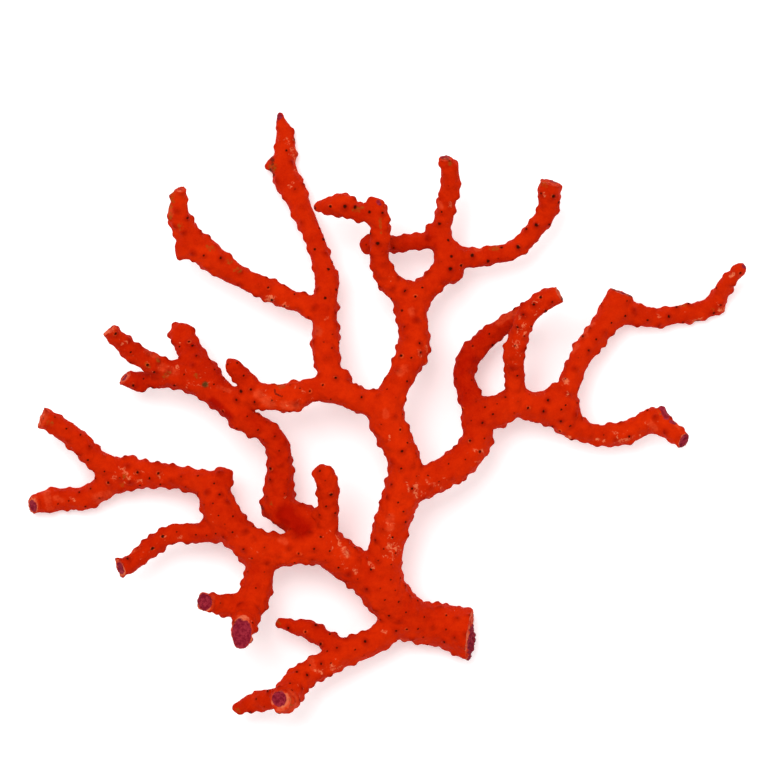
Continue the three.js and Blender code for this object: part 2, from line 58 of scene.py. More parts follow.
# The arms are the CAD's, with a few ends set nearer to the photograph
arms = {
    "trunk": branch(0.6, {"trunk": 0}, [
        [-0.6, -35.8, 8.6, 4.4], [2.1, -38.9, 7.2, 4.4], [5, -41.5, 5.7, 4.35], [8.6, -42.5, 4.4, 4.25],
        [12.4, -43, 4.2, 4.5], [16.8, -44.6, 4.6, 5.15]], face=(0.985, -0.12, 0.13), bulge=1.1, axis=0.72,
        shift=(0, -1.6, 0)),
    "centreStem": branch(0.75, {"trunk": 0, "centre_stem": 10}, [
        [-0.6, -35.8, 8.6, 4.2], [-0.6, -30.5, 10.2, 3.8], [0.2, -26, 11.4, 3.6], [1.2, -22, 12.4, 3.7],
        [2.5, -18, 13.2, 3.65], [3.7, -14, 13.8, 3.5], [3.8, -11, 14.2, 3.4], [3, -8, 14.5, 3.3],
        [1.2, -4, 14.8, 3.5], [-0.1, -1.4, 15, 3.5], [-0.2, 1, 15, 3.3]]),
    "leftLimb": branch(0.7, {"trunk": 0, "left_limb": 9.4}, [
        [-0.6, -35.8, 8.6, 4.2], [-4.9, -32, 9.6, 3.9], [-8.7, -29.4, 10.6, 3.85], [-12.2, -27, 11.4, 3.8],
        [-17, -26.9, 11.8, 3.5], [-22, -27.6, 11.5, 3.5], [-26, -27.2, 11, 3.4]]),
    "leftThumb": branch(0.6, {"left_limb": 0}, [
        [-12.4, -26, 11.6, 2.6], [-11.7, -21.5, 13, 2.2], [-11.6, -17.5, 14.6, 2.1], [-11.9, -14, 16, 2.35],
        [-12.5, -12.4, 16.6, 2.2]]),
    "lowerBranch": branch(0.7, {"trunk": 0, "lower_branch": 5.7}, [
        [2.2, -41.5, 6.9, 3.4], [-0.9, -44.8, 7.4, 2.7], [-4.4, -46.6, 8, 2.8], [-7.6, -47.8, 8.6, 2.7],
        [-12, -50.2, 9.2, 2.7], [-16, -52.2, 10, 2.6], [-18.4, -54.4, 11.4, 2.8], [-19.7, -56.6, 13.8, 2.8],
        [-20.4, -57.5, 16.8, 2.6], [-21, -57.3, 19.6, 2.15]], face=(-0.25, 0.05, 0.96), bulge=0.15,
        axis=0.74, rim=0.2, shift=(-0.3, 0.4, 0)),
    "lowerTip": branch(0.5, {"lower_branch": 0}, [
        [-19.4, -56, 11.6, 2.2], [-22.5, -57.3, 9.8, 2.1], [-25, -57.7, 8.4, 2.2], [-27, -58.2, 7.4, 1.85],
        [-29.5, -59.2, 6.6, 1.3]]),
    "lowerTwig": branch(0.45, {"lower_branch": 0}, [
        [-8.6, -47.6, 8.8, 2.2], [-11.6, -45.8, 8.2, 2], [-13.9, -44.4, 7.6, 1.95], [-16.4, -43.2, 7, 2],
        [-18.3, -43, 6.6, 1.5], [-20, -42.6, 6.3, 1.3], [-21.2, -42, 6.1, 1.05]]),
    "farLeftBranch": branch(0.6, {"left_limb": 0, "far_left_branch": 3.6}, [
        [-26, -27.2, 11, 3.4], [-29.5, -24.4, 10.6, 3.4], [-32.7, -20.6, 9.8, 3.6], [-34, -17.8, 9.2, 3.5],
        [-35.2, -14.8, 8.6, 3], [-38.5, -13.7, 7.8, 2.5], [-42, -13, 7, 2.4], [-46, -12.6, 6.2, 2.6],
        [-50, -12.4, 5.6, 3], [-53.4, -12.7, 5.2, 3.3], [-56.5, -14.8, 4.6, 2.5], [-60, -17.1, 3.6, 2.4],
        [-62.4, -17.3, 2.8, 2.3], [-65, -17.4, 2.15, 2.35], [-68, -17.8, 2.3, 2.5], [-70, -18.2, 3.2, 2],
        [-71, -18.7, 4.3, 1.75]], face=(-0.8, -0.1, 0.6), bulge=0.2, axis=0.75),
    "farLeftProng": branch(0.6, {"far_left_branch": 0, "far_left_prong": 6.2}, [
        [-53.4, -12.7, 5.2, 2.8], [-56.4, -10.7, 5.7, 2.6], [-59.1, -8.8, 6.5, 2.2],
        [-61.3, -6.2, 7.5, 2.35], [-64.9, -3.3, 9, 2.2], [-67.2, -1.8, 10, 2.1], [-69, -0.8, 10.7, 2.1]],
        face=(-0.94, 0.3, 0.15), bulge=0.15),
    "lowLeftBranch": branch(0.5, {"far_left_branch": 0, "low_left_branch": 7.2}, [
        [-30.6, -23.6, 10.2, 2.4], [-34, -23.8, 9.4, 2.1], [-37, -24.1, 9, 2.15], [-40, -24.1, 8.9, 2],
        [-43.5, -24.4, 9, 1.85], [-46, -26.2, 9.3, 1.95], [-48.5, -28, 9.8, 1.9], [-50.7, -29.9, 10.6, 1.9],
        [-53.2, -31.1, 12, 1.95]], face=(-0.82, -0.35, 0.45), axis=0.7),
    "brokenTwin": branch(0.65, {"left_limb": 0, "broken_twin_branch": 5.8}, [
        [-25.6, -28, 11, 3.3], [-25.2, -31.6, 10.6, 2.95], [-25.8, -34.2, 10.8, 3.1],
        [-26.5, -37, 11.8, 3.1], [-27.6, -39.6, 14, 2.8], [-28.2, -42, 17, 2.6], [-28.8, -44.1, 19.8, 2.1]],
        face=(-0.2, 0.2, 0.96), bulge=0.2, axis=1.05, shift=(-0.2, 0.1, 0)),
    "brokenTwinStub": branch(0.7, {"broken_twin_branch": 0}, [
        [-26.8, -37.6, 12.2, 2.6], [-29.8, -38.4, 13, 2.5], [-32, -38.4, 14.2, 2.3], [-34.2, -38, 15.8, 2],
        [-36.3, -37.7, 18, 1.95]], face=(-0.6, 0, 0.8), bulge=0.15, axis=0.95),
    "bowedBranch": branch(0.45, {"left_limb": 0, "bowed_branch": 6.8, "left_spray": 26.9}, [
        [-14.5, -24.4, 10.4, 3], [-18, -21.6, 8.9, 3.2], [-21.2, -19, 8.2, 3.3], [-21.5, -15.8, 8.6, 3.1],
        [-21.3, -12, 9.6, 2.8], [-21.4, -8.6, 10.8, 2.6], [-22.4, -5.4, 11.8, 2.45],
        [-24.5, -3.4, 12.4, 2.4], [-27.4, -1.9, 12.7, 2.4], [-30, 0.6, 12.7, 2.8], [-33, 3.2, 12.2, 2.85],
        [-36, 5.4, 11.6, 2.85], [-40.2, 7.1, 11.4, 2.9], [-44, 8.4, 12, 2.35], [-47.2, 10.1, 13.4, 2.15],
        [-50.5, 11.9, 15, 2.05], [-52.8, 14.1, 16.6, 1.85], [-55.3, 16.4, 18.2, 1.6]],
        face=(-0.64, 0.72, 0.28)),
    "sprayThumb": branch(0.38, {"left_spray": 0}, [
        [-36.4, 6, 11.4, 3], [-38, 9.4, 10.4, 3], [-39.5, 12.6, 9, 2.6], [-40.9, 15.5, 7.6, 2.6]]),
    "sprayStub": branch(0.35, {"left_spray": 0}, [
        [-42.4, 7.8, 11.4, 2.1], [-45, 6.6, 10.4, 1.9], [-47.6, 6.6, 9.6, 1.8], [-49.8, 6.2, 9.2, 2.05],
        [-52.5, 6.9, 9.4, 1.6]], face=(-0.78, 0.5, 0.38), axis=0.5, rim=0.19),
    "innerBranch": branch(0.75, {"centre_stem": 0, "inner_branch": 5.4, "left_spray": 24.9}, [
        [-0.2, 1, 15, 3], [-4, 2.1, 15, 2.65], [-7, 3.1, 14.8, 2.6], [-10, 4.6, 14.5, 2.6],
        [-13, 5, 14.4, 2.35], [-16, 4.2, 14.6, 2.5], [-19, 3.1, 14.8, 3.1], [-22, 3, 14.8, 2.7],
        [-24.5, 3.2, 14.5, 2.8], [-27, 3.5, 13.8, 2.6], [-30, 2.4, 12.8, 2.6]]),
    "innerThumb": branch(0.5, {"left_spray": 0}, [
        [-26.6, 4, 14.1, 2.3], [-28.3, 6.8, 15, 1.95], [-30.5, 9.1, 16, 1.75]]),
    "tallBranch": branch(0.6, {"inner_branch": 0, "tall_branch": 5.3}, [
        [-11.6, 4.6, 14.4, 2.8], [-11.5, 8, 13.6, 2.5], [-12.1, 12, 12.4, 2.9], [-12.1, 16, 11.2, 2.75],
        [-12.4, 20, 10.1, 2.5], [-12.1, 24, 9, 2.45], [-12, 26.4, 8.4, 2.6], [-12.9, 29.7, 7.6, 2.1],
        [-13.9, 33.2, 6.8, 2.1], [-15.1, 36.5, 6, 2.05], [-16.8, 40, 5.2, 2.2], [-18.2, 43.6, 4.3, 2.5],
        [-20, 46.8, 3.4, 2.75], [-20.4, 50, 2.4, 2.35], [-20.3, 53, 1.95, 2.15], [-20.5, 55.8, 2, 1.85],
        [-21.1, 58, 2.4, 1.25], [-21.4, 59.7, 2.7, 0.65]]),
    "tallSideBranch": branch(0.65, {"tall_branch": 0, "tall_side_branch": 5.6}, [
        [-12.2, 20.6, 9.9, 2.4], [-15.2, 21.4, 9.8, 2.1], [-18, 22.2, 9.8, 2], [-21, 23.4, 10, 2.25],
        [-24, 24.7, 10.3, 2.25], [-28, 26.5, 10.8, 2.2], [-32, 28.7, 11.4, 2.45], [-35.2, 31.2, 12.2, 2.95],
        [-38.5, 33.9, 13, 2.95], [-40.3, 36.7, 14, 2.4], [-41.5, 39.6, 15.2, 2.25], [-41.2, 42.4, 16.6, 1.7],
        [-41, 44.5, 17.9, 1.25]], face=(0, 0.9, 0.44), axis=0.3),
    "crownStem": branch(0.65, {"centre_stem": 0, "crown_stem": 6}, [
        [-0.2, 1, 15, 3.3], [1.6, 4.6, 14.5, 2.9], [3.3, 8, 13.9, 2.75], [4.6, 10.8, 13.2, 3.1],
        [5.5, 13.4, 12.5, 3.25], [5.3, 16.6, 11.8, 3.05], [5, 19.6, 11.2, 3.15], [5, 22.4, 10.8, 3.3]]),
    "crownHook": branch(0.6, {"crown_stem": 0, "crown_hook": 6}, [
        [5, 22.4, 10.8, 2.9], [1.8, 24.9, 11.6, 2.55], [-0.2, 27.4, 12.9, 2.3], [-1.2, 30, 14.3, 2.05],
        [-1.4, 33, 15.7, 2.05], [-1.1, 36, 16.8, 1.95], [-1.8, 39, 17.4, 1.85], [-2.3, 41, 17.6, 2]]),
    "crownHookBarb": branch(0.55, {"crown_hook": 0}, [
        [-1.6, 39.6, 17.4, 1.9], [-4, 39.8, 17.2, 1.85], [-6.2, 40.2, 16.8, 1.85], [-8.8, 41.4, 16.2, 2.4],
        [-11.2, 41.2, 15.2, 1.95], [-13.2, 41.1, 14.2, 1.3]]),
    "crownFork": branch(0.55, {"crown_stem": 0, "crown_fork": 5.8}, [
        [5, 22.4, 10.8, 2.9], [7.6, 24.3, 10.5, 2.55], [9.8, 26.6, 10.1, 2.45], [11.9, 28.7, 9.8, 2.6],
        [12.4, 31.6, 9.5, 2.25], [11, 34.8, 9.6, 2.15], [11.1, 37.4, 10, 1.9], [11.7, 40, 10.8, 1.95],
        [12, 42, 11.5, 1.95], [12.7, 44.4, 12.4, 2.05], [12.8, 47, 13.4, 1.95], [12.5, 49, 14.3, 1.85],
        [11.6, 50.8, 15.2, 1.25]], face=(-0.15, 0.85, 0.5), rim=0.17),
    "crownForkTwig": branch(0.42, {"crown_fork": 0}, [
        [11.2, 33.9, 9.4, 1.9], [8.4, 34.4, 9.2, 1.75], [5, 34, 9, 1.7], [2, 33.7, 9, 1.7],
        [-1, 33.7, 9.1, 1.7], [-3.8, 33.6, 9.3, 1.8]]),
    "crownArc": branch(0.55, {"crown_fork": 0, "crown_arc_branch": 5}, [
        [12, 31.4, 9.5, 2.6], [15.6, 31, 9.2, 2.25], [18.6, 31, 8.8, 2], [21.6, 31.6, 8.5, 1.95],
        [24.6, 32.2, 8.4, 1.95], [27.2, 33.9, 8.5, 1.95], [29.4, 36.2, 8.9, 1.95], [31.3, 38.7, 9.6, 2.05],
        [32.5, 41.4, 10.5, 2.2], [32.5, 44, 11.5, 2.45], [32.7, 46, 12.4, 2.15]], face=(0.25, 0.92, 0.3),
        rim=0.17),
    "rightLimb": branch(0.65, {"centre_stem": 0, "right_limb": 7.2}, [
        [3.2, -15.2, 13.6, 3.4], [6.4, -14.4, 13.3, 3.3], [9.6, -13, 12.8, 3.2], [13.3, -11, 12.1, 3.25],
        [16.4, -8.4, 11.4, 3.2], [18.2, -5, 10.7, 3.05], [18.4, -1.2, 10.1, 3.2], [21.6, 0.1, 9.8, 3.4],
        [26, 1.7, 9.6, 2.8], [30, 1.1, 9.1, 3.1], [34, 0.7, 8.6, 3.4], [35.6, 0.2, 8.4, 3.4]]),
    "loopBranch": branch(0.3, {"right_limb": 0, "loop_branch": 5.4, "loop_post": 22.2}, [
        [18.2, -1, 10, 2.7], [17, 2.2, 9.3, 2.4], [16, 5.4, 8.4, 2.3], [15.5, 8, 7.7, 2.2],
        [16.3, 10.6, 7.3, 2.35], [18.4, 13.2, 7.3, 2.3], [21.4, 16, 7.9, 2], [24.4, 18, 9.2, 1.95],
        [27, 19.6, 11.2, 1.9]]),
    "loopPost": branch(0.6, {"right_limb": 0, "loop_post": 4.6}, [
        [25.6, 2.4, 9.8, 2.5], [25.8, 6, 11, 2.1], [25.6, 9, 12.2, 2.05], [25.5, 12, 13.2, 2.35],
        [26.2, 14.6, 13.9, 2.05], [27, 17.1, 14.3, 2.1], [28.3, 19.8, 14.5, 2.3], [30.4, 21.7, 14.5, 2.1],
        [32.3, 22.8, 14.4, 2.15], [34.6, 23.6, 14.3, 1.65]], face=(0.87, 0.45, 0.2), rim=0.2),
    "risingBranch": branch(0.65, {"right_limb": 0, "rising_branch": 6.3}, [
        [35.2, 0.2, 8.4, 2.9], [36.1, 4, 8, 2.25], [37.2, 7.4, 7.6, 2.3], [38.6, 10.4, 7.2, 2.2],
        [40.2, 13.1, 6.8, 2.45], [42.7, 16.2, 6.2, 2.5], [44.9, 19.3, 5.6, 2.8], [46.2, 21.6, 5.4, 3],
        [47.2, 24.1, 5.6, 2.45]], face=(0.36, 0.92, 0.12), bulge=0.15, axis=0.4, rim=0.18),
    "farRightBranch": branch(0.6, {"rising_branch": 0, "far_right_branch": 5.7}, [
        [45.6, 20.2, 5.5, 2.6], [48.2, 19.9, 5, 2.45], [50.4, 19.6, 4.5, 2.35], [53, 19, 3.9, 2.1],
        [56, 19.2, 3.2, 1.95], [59, 19.7, 2.5, 2], [62, 20.1, 1.9, 2], [64.6, 21, 1.75, 2],
        [66.6, 22.9, 2.7, 1.9], [67.8, 25.3, 4.6, 1.7], [69.2, 27.1, 6.4, 1.45], [70.6, 28.5, 7.9, 1.5]]),
    "lowerRightBranch": branch(0.7, {"right_limb": 0, "lower_right_branch": 6.8}, [
        [34.6, 0.4, 8.5, 3.2], [36.3, -2.3, 8, 2.65], [39.2, -3.6, 7.4, 2.3], [42, -4.5, 6.8, 2.15],
        [45, -4.5, 6.3, 2.3], [48, -4, 6, 2.45], [50.8, -2.7, 6.2, 2.3], [53.4, -1.6, 6.9, 2.6],
        [55.4, -2.3, 7.8, 2.2], [56.7, -3.7, 8.6, 1.95], [58.4, -4.9, 9.5, 1.85], [59.5, -5.7, 10.1, 1.65]],
        face=(0.75, -0.4, 0.52), bulge=0.6, axis=0.9),
}

# Healed stumps and swellings: [x, y, height, radius]
knobs = [
    [-16.4, -20.8, 9.6, 2.5], [-8.9, 6.9, 14, 1.9], [13.5, 27.9, 9.6, 2], [9.4, 36, 9.5, 1.6],
    [33.6, 3.6, 8.5, 2.1], [-32.8, -13.1, 8.6, 2.3], [-51.6, -10.4, 5.8, 1.7], [-22.8, -19.1, 8, 2.2],
    [-29.6, -1.6, 12.5, 2], [-35.6, 8, 11, 2.2], [-34.1, 5.7, 11.8, 2.2], [-13.4, -19.9, 12.3, 1.4],
    [-22.4, 49.8, 3, 1.6], [-15.4, 20.4, 9.8, 1.8], [-40.3, 32.6, 12.8, 2.1], [67, 20.9, 2, 1.25],
    [54.8, -0.5, 7.4, 1.4]]

skinLook = {
    "grainSize": 0.22,      # of the mesh that the skin is made of
    "tubeSides": 20,
    "tubeStep": 1.2,        # between the rings of a tube before they grow together
    "webSize": 0.4,         # how far two arms fill the corner between them
    "boneStep": 1.4,        # between the bones that the skin is drawn over
    "reach": 3.2,           # how far from a bone its pull is felt
    "rounds": 3,            # in which the fused skin moves on to the smooth one
    "longestStep": 0.4,     # of a point in one round
    "tintFade": 0.8,        # how slowly the tint of an arm goes over into the next one's
    "cutSlab": 0.5,         # how near to a fork's cut the faces are that it goes through
    "cutReach": 1.45,       # how far from the arm's middle they are, in radii
    "cutSnap": 1e-5,        # a point nearer to the cut than this lies on it
    "crumb": 200,           # a piece with fewer points is a crumb, and goes
    "voters": 300,          # points that choose the node that a piece replaces
}


def finishMesh(bm, name):
    mesh = bpy.data.meshes.new(name)
    bm.to_mesh(mesh)
    bm.free()
    return mesh


def newObject(name, data):
    made = bpy.data.objects.new(name, data)
    bpy.context.scene.collection.objects.link(made)
    return made


def readRows(items, name):
    # The places of a mesh's points, or the middles of its faces
    flat = np.empty(len(items) * 3)
    items.foreach_get(name, flat)
    return flat.reshape(-1, 3)


def armLine(arm):
    # An even curve through the points, with its length measured along it
    stepsPerSpan = 16
    points = np.array(arm["points"], float)
    held = np.vstack([2 * points[0] - points[1], points, 2 * points[-1] - points[-2]])
    t = np.linspace(0, 1, stepsPerSpan, endpoint=False)[:, None]
    spans = []
    for before, a, b, after in zip(held, held[1:], held[2:], held[3:]):
        spans.append(a + 0.5 * t * ((b - before) + t * ((2 * before - 5 * a + 4 * b - after)
                                                       + t * (3 * a - before - 3 * b + after))))
    curve = np.vstack(spans + [points[-1:]])
    steps = np.linalg.norm(np.diff(curve[:, :3], axis=0), axis=1)
    return curve, np.concatenate([[0], np.cumsum(steps)])


def alongArm(line, lengths):
    # Middle, radius and direction of an arm at some lengths along it
    curve, measured = line
    ahead = 0.3

    def at(places, count):
        return np.stack([np.interp(places, measured, curve[:, i]) for i in range(count)], 1)

    found = at(lengths, 4)
    heading = at(lengths + ahead, 3) - at(lengths - ahead, 3)
    heading /= np.linalg.norm(heading, axis=1)[:, None]
    return found[:, :3], found[:, 3], heading


lines = {name: armLine(arm) for name, arm in arms.items()}


def addTube(whole, name):
    # A closed cylinder is cut into rings, and every ring is moved on to the arm's line
    tipRings = (0.5, 0.85)
    bm = bmesh.new()
    arm = arms[name]
    total = lines[name][1][-1]
    stops = list(np.linspace(0, total, max(2, round(total / skinLook["tubeStep"])) + 1))
    shares = [1.0] * len(stops)
    for turn in tipRings:
        radius = alongArm(lines[name], np.array([0.0, total]))[1]
        stops.insert(0, -radius[0] * turn)
        shares.insert(0, np.sqrt(1 - turn ** 2))
        if "face" not in arm:
            stops.append(total + radius[1] * turn)
            shares.append(np.sqrt(1 - turn ** 2))
    middle, radius, heading = alongArm(lines[name], np.clip(stops, 0, total))
    middle += heading * (np.array(stops) - np.clip(stops, 0, total))[:, None]

    bmesh.ops.create_cone(bm, cap_ends=True, cap_tris=False, segments=skinLook["tubeSides"],
                          radius1=1, radius2=1, depth=1)
    sides = [e for e in bm.edges if abs(e.verts[0].co.z - e.verts[1].co.z) > 0.5]
    bmesh.ops.subdivide_edges(bm, edges=sides, cuts=len(stops) - 2, use_grid_fill=True)
    face = Vector(arm.get("face", (0, 0, 1))).normalized()
    for v in bm.verts:
        i = round((v.co.z + 0.5) * (len(stops) - 1))
        along = Vector(heading[i])
        side = along.cross(Vector((0, 0, 1))).normalized()
        out = (side * v.co.x + side.cross(along) * v.co.y) * (radius[i] * shares[i])
        if "face" in arm and i == len(stops) - 1:
            out -= along * (out.dot(face) / along.dot(face))
        v.co = Vector(middle[i]) + out
    tube = finishMesh(bm, "tube")
    whole.from_mesh(tube)
    bpy.data.meshes.remove(tube)


def growTogether():
    # All tubes and knobs, fused into one closed skin of small even faces
    bm = bmesh.new()
    for name in arms:
        addTube(bm, name)
    for x, y, z, radius in knobs:
        bmesh.ops.create_icosphere(bm, subdivisions=3, radius=radius,
                                   matrix=Matrix.Translation((x, y, z)))
    bmesh.ops.recalc_face_normals(bm, faces=bm.faces)
    rough = finishMesh(bm, "roughCoral")
    holder = newObject("roughCoral", rough)
    fuse = holder.modifiers.new("fuse", "REMESH")
    fuse.mode = "VOXEL"
    fuse.voxel_size = skinLook["grainSize"] * 1
    fuse.use_smooth_shade = True
    bpy.context.view_layer.update()
    fused = bpy.data.meshes.new_from_object(holder.evaluated_get(bpy.context.evaluated_depsgraph_get()))
    bpy.data.objects.remove(holder)
    bpy.data.meshes.remove(rough)
    return fused


def bonesNear(points):
    # For each arm and knob: its bones, and the points that each of them can reach
    members = []
    for name, arm in arms.items():
        total = lines[name][1][-1]
        count = max(2, round(total / skinLook["boneStep"]))
        middle, radius, heading = alongArm(lines[name], np.linspace(0, total, count + 1))
        plane = None
        if "face" in arm:
            plane = (middle[-1].copy(), np.array(Vector(arm["face"]).normalized()))
            middle = np.vstack([middle, middle[-1] + 2 * heading[-1]])
            radius = np.append(radius, radius[-1])
        members.append({"tint": arm["tint"], "plane": plane, "bones": list(
            zip(middle[:-1], middle[1:], radius[:-1], radius[1:]))})
    for x, y, z, radius in knobs:
        spot = np.array([x, y, z], float)
        members.append({"tint": None, "plane": None, "bones": [(spot, spot, radius, radius)]})
    for member in members:
        member["bones"] = [
            (a, b, ra, rb, np.nonzero(np.all(
                (points > np.minimum(a, b) - max(ra, rb) - skinLook["reach"])
                & (points < np.maximum(a, b) + max(ra, rb) + skinLook["reach"]), axis=1))[0])
            for a, b, ra, rb in member["bones"]]
    return members


def distanceTo(member, points):
    # Distance from the skin of one arm, far away where none of its bones reaches
    far, planeReach = 9.0, 3
    nearest = np.full(len(points), far)
    for a, b, ra, rb, reached in member["bones"]:
        p = points[reached] - a
        bone = b - a
        length2 = max(bone @ bone, 1e-9)
        share = np.clip(p @ bone / length2, 0, 1)
        gap = np.linalg.norm(p - share[:, None] * bone, axis=1) - (ra + share * (rb - ra))
        nearest[reached] = np.minimum(nearest[reached], gap)
    if member["plane"] is not None:
        spot, facing = member["plane"]
        near = nearest < planeReach
        nearest[near] = np.maximum(nearest[near], (points[near] - spot) @ facing)
    return nearest


def skinDistance(members, points):
    # Distance from the whole skin, with the corners between arms filled
    web = skinLook["webSize"]
    total = np.zeros(len(points))
    for member in members:
        total += np.exp(-distanceTo(member, points) / web)
    return -web * np.log(total)


def skinSlope(members, points):
    value = skinDistance(members, points)
    nudge = 0.02
    slope = np.stack([(skinDistance(members, points + nudge * axis) - value) / nudge
                      for axis in np.eye(3)], 1)
    return value, slope


def drawSkin(points, members):
    # Every point of the fused skin is moved on to the smooth one; a slope near nothing doesn't count as less
    leastSquare, leastSlope = 0.3, 0.1
    longest = skinLook["longestStep"]
    for _ in range(skinLook["rounds"]):
        value, slope = skinSlope(members, points)
        size2 = np.maximum((slope ** 2).sum(1), leastSquare)
        points = points - np.clip(value / size2, -longest, longest)[:, None] * slope
    slope = skinSlope(members, points)[1]
    return points, slope / np.maximum(np.linalg.norm(slope, axis=1), leastSlope)[:, None]


polypLook = {
    "seed": 7,
    "spacing": (1.95, 2.7),   # least distance from one polyp to the next
    "wartHeight": 0.62,
    "wartWidth": 0.75,
    "wartShares": (0.4, 0.8),  # of its height: what the smallest has, and what the largest has besides
    "pitDepth": 0.2,
    "pitLeast": 0.3,          # of its depth: what the faintest has
    "pitWidth": 0.2,
    "boldSpacing": 0.5,       # least distance from one bold polyp to the next
    "boldLeast": 0.7,         # the faintest pit of a bold polyp, where 1 is the boldest
    "boldShare": 0.8,         # the boldest pit that is left to chance on the upper side
    "tries": 70000,           # points that are tried for the scattered polyps
    "bareHeight": 0.4,        # above the table, where none are scattered
    "lumpHeight": 0.2,        # of the slow swellings
    "lumpSize": 2.2,
    "grainHeight": 0.11,      # of the fine roughness
    "grainSize": 0.7,
    "skinDrop": 0.16,         # how far the skin lies under the warts' mean
    "breakGrain": 0.12,       # height of the roughness that a broken end has besides
    "bulgeShares": (0.8, 0.7),  # of an end's bulge: what stands even, and what goes up and down
}

breakLook = {
    "depth": 0.25,       # how far from a broken end's plane its points lie at most
    "facing": 0.6,       # least cosine between a point's normal and the way that the end looks
    "edge": 1.3,         # how far from the axis the mask goes, in radii
    "crust": 0.4,        # the mask beside the axis
    "rim": 0.25,         # the least mask on the crust round it, where the arm has none
    "bulge": 0.1,        # where the arm has none
    "bulgeEdge": 0.85,   # where the bulge ends, in radii
    "skin": 0.05,        # under this the mask counts as skin
}

# The bold dark pits of the upper side, arm by arm: [x, y] or [x, y, how much wider]
boldPits = [
    # Open ones
    [30.7, 23, 1], [-46.7, -27.2, 0.9], [-44.7, -24.7, 0.8], [18.5, -7.7, 0.8], [-36.2, 5.5, 2.6],
    [-47.6, 9.5, 0.9], [-28.9, 4.3, 0.7], [3, 20.4, 0.6], [-1.7, 33.8, 0.6],
    # Trunk and centre stem
    [6.1, -37.7], [12, -40.6], [4, -43.3], [7.4, -45.1], [11.6, -45.8], [0.5, -40.5], [2.4, -37.7],
    [-0.3, -37.5], [0.8, -33.4], [1.3, -24.8], [3.7, -21.7], [2.4, -18], [5.1, -15.1], [3, -11.2],
    [3.1, -7.6], [4, -6], [2.7, -3.3],
    # Left limb and thumb
    [-3, -31.3], [-11.3, -27.7], [-14.3, -27.2], [-13.2, -24.9], [-17.5, -28], [-19, -23.5], [-12, -18.6],
    [-11.2, -16.2], [-13.2, -11.7],
    # Lower branch
    [1.8, -43.5], [-4.2, -45.9], [-6.3, -47.3], [-9.9, -47.2], [-11.8, -47.8], [-11, -50], [-13.1, -50.2],
    [-15.2, -50.5], [-16, -52.4], [-19.3, -54.1], [-23.5, -56], [-13, -46.2], [-11.3, -44.5], [-14.2, -42.8],
    [-16.2, -43.8],
    # Far left, its prong and the low left branch
    [-26.8, -29.1], [-30.8, -23.9], [-30.7, -20.7], [-34.7, -18.2], [-34.5, -14.2], [-45.6, -12.2],
    [-47.4, -13.1], [-49.4, -14.6], [-49.8, -12.1], [-55.6, -14.1], [-56.5, -11.8], [-61.6, -16.1],
    [-65.8, -18.4], [-61.3, -4.5], [-64, -3.3], [-66.3, -1.1], [-38.1, -24.4], [-51.8, -29.4],
    # Broken twin
    [-26.1, -35], [-33.1, -38], [-26.6, -41.8],
    # Bowed branch and the left spray
    [-23, -11.2], [-25.6, -3.5], [-27.7, -0.7], [-29.9, -3.1], [-32.6, 0.3], [-29.8, 2.5], [-34.3, 5.6],
    [-34.4, 8.6], [-38.8, 13.1], [-39.5, 14.1], [-40.4, 7.5], [-42.2, 5.7], [-46.4, 8.2], [-50.9, 12.1],
    [-53.9, 15.8], [-50.5, 5.5], [-26.9, 4.6], [-28.4, 7.3], [-31.6, 9.6], [-29.8, 9.9],
    # Inner, tall and tall side branches
    [-4.9, 3], [-12.8, 5.5], [-10.2, 6.7], [-15.3, 4.4], [-9.1, 11], [-10.9, 12.8], [-22.9, 22.6],
    [-23.7, 25], [-33.3, 30.8], [-36.4, 31.3],
    # Crown stem
    [3.1, 11.2], [4.9, 11], [6.7, 12], [6.4, 13.8], [5.8, 23.1], [3.6, 24.1],
    # Right limb and the loop
    [8.2, -12.5], [12.4, -10.2], [16.7, -5.8], [19, -2], [15.5, 0.6], [19.7, 1.1], [22.2, 1.7], [28.3, 0.9],
    [31.3, 0.3], [32.2, 2.4], [17.2, 13.3], [20.6, 15.8], [26, 7.4], [25.6, 13.4], [26.3, 17], [28.7, 17.3],
    [31.6, 20.4], [29.4, 21.5],
    # Rising, far right and lower right branches
    [34.8, 0.5], [35.9, 1.6], [35.8, 6.7], [40.3, 12.5], [45, 17.9], [47.8, 19.5], [52.3, 18.6], [56.5, 19.3],
    [67.1, 21.7], [66.3, 24.9], [70.8, 27.9], [33.2, -2.6], [34.8, -3.6], [36.7, -2.7], [48.5, -4.7]]

# The ones of the crown and the tall branch are wider, by the same share
crownPits = [
    [-3.4, 39.8], [-6.2, 40.8], [-8.3, 41], [-11.2, 41], [12.6, 28.6], [14.9, 29.4], [13, 31.2], [12.3, 34.4],
    [10.7, 37.8], [17.1, 31.3], [20.3, 30.3], [23, 33.1], [26.4, 33.2], [30.1, 37.5], [34.4, 41.9],
    [33.2, 43.3], [-12.1, 22.9], [-10.1, 24.5], [-11.6, 28.6], [-14.5, 32.6], [-12.7, 34.6], [-14.1, 40.9]]
crownWidth = 0.65


